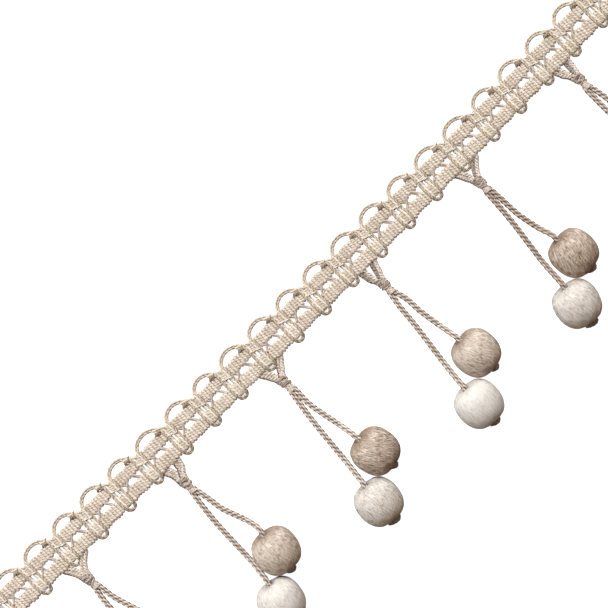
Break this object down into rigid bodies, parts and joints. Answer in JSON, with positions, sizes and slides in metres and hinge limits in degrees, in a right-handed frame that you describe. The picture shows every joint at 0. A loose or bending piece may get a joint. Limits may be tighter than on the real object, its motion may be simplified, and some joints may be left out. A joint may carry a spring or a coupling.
{
  "type": "beaded fringe trim",
  "caption": "Cut length of woven gimp braid with a scalloped edge and knotted drops of paired twisted cords ending in thread-wound beads.",
  "frame": {"origin": "on the flat underside of the heading, on the centre line of its upper band, where the trim is sewn on, half way along the picture's stretch", "axes": "+X along the braid, +Y towards the scalloped edge so that the drops hang to -Y, +Z out of the face, with the trim lying on the plane z = 0"},
  "size_m": [0.2832, 0.0778, 0.0141],
  "materials": {
    "gimp_yarn": "matt",
    "cord_yarn": "matt",
    "ivory_silk": "satin",
    "taupe_silk": "satin"
  },
  "bodies": {
    "root": {"heading_braid": "gimp_yarn", "drop_1": "cord_yarn", "ivory_bead_1": "ivory_silk", "taupe_bead_1": "taupe_silk", "drop_2": "cord_yarn", "ivory_bead_2": "ivory_silk", "taupe_bead_2": "taupe_silk", "drop_3": "cord_yarn", "ivory_bead_3": "ivory_silk", "taupe_bead_3": "taupe_silk", "drop_4": "cord_yarn", "ivory_bead_4": "ivory_silk", "taupe_bead_4": "taupe_silk", "drop_5": "cord_yarn", "ivory_bead_5": "ivory_silk", "taupe_bead_5": "taupe_silk", "drop_6": "cord_yarn", "ivory_bead_6": "ivory_silk", "taupe_bead_6": "taupe_silk"}
  },
  "joints": []
}
